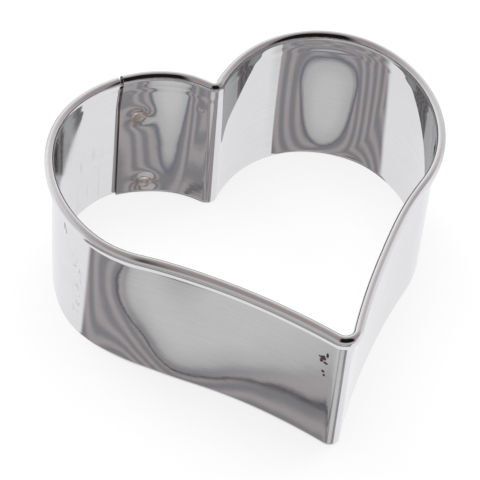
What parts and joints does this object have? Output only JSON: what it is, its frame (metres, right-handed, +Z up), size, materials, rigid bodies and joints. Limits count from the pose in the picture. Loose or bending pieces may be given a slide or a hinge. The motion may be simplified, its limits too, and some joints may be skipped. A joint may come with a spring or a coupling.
{
  "type": "cookie cutter",
  "caption": "Heart-shaped cookie cutter: a bright steel strip with a hem rolled outwards along its top, bent to a heart and spot-welded where its ends lap in one lobe.",
  "frame": {"origin": "middle of the heart's bounding box, on the plane of the cutting edge", "axes": "+Z up from the cutting edge to the hemmed rim, +X across the lobes towards the lobe without the lap, -Y towards the point"},
  "size_m": [0.0555, 0.0525, 0.025],
  "materials": {
    "bright_steel": "bright rolled stainless sheet, mirror-like, with faint rolling lines and fine handling scratches",
    "weld_metal": "dull fused spot-weld metal with a faint brown heat tint"
  },
  "bodies": {
    "root": {"heart_strip": "bright_steel", "upper_spot_weld": "weld_metal", "lower_spot_weld": "weld_metal"}
  },
  "joints": []
}
